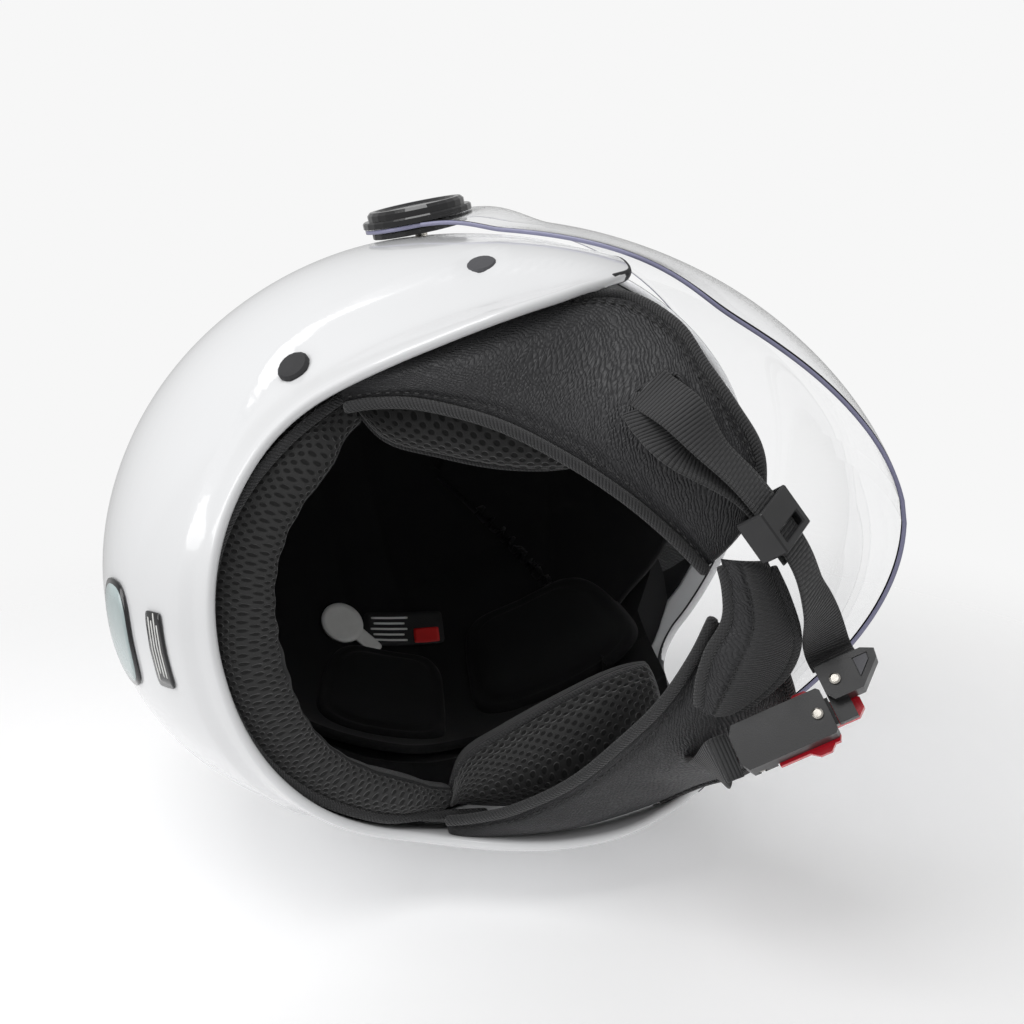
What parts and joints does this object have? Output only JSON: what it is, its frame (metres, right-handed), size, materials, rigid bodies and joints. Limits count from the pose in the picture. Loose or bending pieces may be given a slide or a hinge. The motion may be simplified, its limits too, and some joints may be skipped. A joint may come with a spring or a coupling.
{
  "type": "open face scooter helmet",
  "caption": "Open-face scooter helmet with a clear bubble visor on side pivots, a padded lining and a chin strap with a micrometric buckle.",
  "frame": {"origin": "in the head cavity, on the middle plane, level with the visor's pivots less 20 mm", "axes": "+Z to the crown, -Y to the face, -X the wearer's right; the helmet is upright, as it is worn"},
  "size_m": [0.2718, 0.3176, 0.2821],
  "materials": {
    "shell_white": "glossy moulded shell",
    "eps_black": "moulded foam",
    "lining_black": "brushed knit",
    "mesh_fabric": "spacer mesh",
    "leatherette": "grained imitation leather",
    "binding_black": "woven binding",
    "visor_clear": "clear polished plastic",
    "cap_black": "glossy",
    "plastic_black": "satin",
    "steel": "plated",
    "rubber_black": "matt",
    "plug_grey": "matt",
    "webbing_black": "ribbed webbing",
    "lever_red": "glossy",
    "badge_grey": "foil sticker",
    "label_black": "printed label"
  },
  "bodies": {
    "helmet": {"anchor_rivet_left": "steel", "anchor_rivet_right": "steel", "buckle_housing": "plastic_black", "buckle_screw": "steel", "cheek_pad_left": "mesh_fabric", "cheek_pad_right": "mesh_fabric", "chin_pad": "leatherette", "crown_lining": "lining_black", "ear_flap_left": "leatherette", "ear_flap_right": "leatherette", "eps_liner": "eps_black", "flap_piping_left": "binding_black", "flap_piping_right": "binding_black", "flap_trim_left": "binding_black", "flap_trim_right": "binding_black", "front_foam_pad_left": "lining_black", "front_foam_pad_right": "lining_black", "info_label": "label_black", "inner_label": "label_black", "left_webbing": "webbing_black", "lever_pin": "steel", "neck_roll": "mesh_fabric", "outer_shell": "shell_white", "pivot_nut_left": "steel", "pivot_nut_right": "steel", "pivot_plate_left": "plastic_black", "pivot_plate_right": "plastic_black", "pivot_screw_left": "steel", "pivot_screw_right": "steel", "rear_badge": "badge_grey", "rear_foam_pad_left": "lining_black", "rear_foam_pad_right": "lining_black", "rear_plug_left": "rubber_black", "rear_plug_right": "rubber_black", "right_webbing": "webbing_black", "right_webbing_tail": "webbing_black", "side_plug_left": "plug_grey", "side_plug_right": "plug_grey", "strap_anchor_left": "steel", "strap_anchor_right": "steel", "visor_cap_left": "cap_black", "visor_cap_right": "cap_black"},
    "visor": {"visor": "visor_clear"},
    "lever": {"release_lever": "lever_red"},
    "tongue": {"ratchet_tongue": "plastic_black", "tongue_clamp": "plastic_black", "clamp_insert": "plug_grey", "clamp_screw": "steel"},
    "slider": {"strap_slider": "plastic_black"}
  },
  "joints": [
    {"name": "visor_pivot", "type": "hinge", "parent": "helmet", "child": "visor", "pos_m": [0, -0.0007, 0.0198], "axis": [-1, 0, 0], "range_deg": [0, 75]},
    {"name": "lever_hinge", "type": "hinge", "parent": "helmet", "child": "lever", "pos_m": [0.05273, -0.07312, -0.13024], "axis": [-0.6599, 0.1114, 0.743], "range_deg": [0, 12], "stiffness_Nm_per_rad": 0.03, "springref_deg": -11.46},
    {"name": "tongue_slide", "type": "slide", "parent": "helmet", "child": "tongue", "axis": [-0.2929, -0.9488, -0.118], "range_m": [0, 0.02]},
    {"name": "slider_slide", "type": "slide", "parent": "helmet", "child": "slider", "axis": [0.8851, -0.4101, -0.22], "range_m": [0, 0.005]}
  ]
}
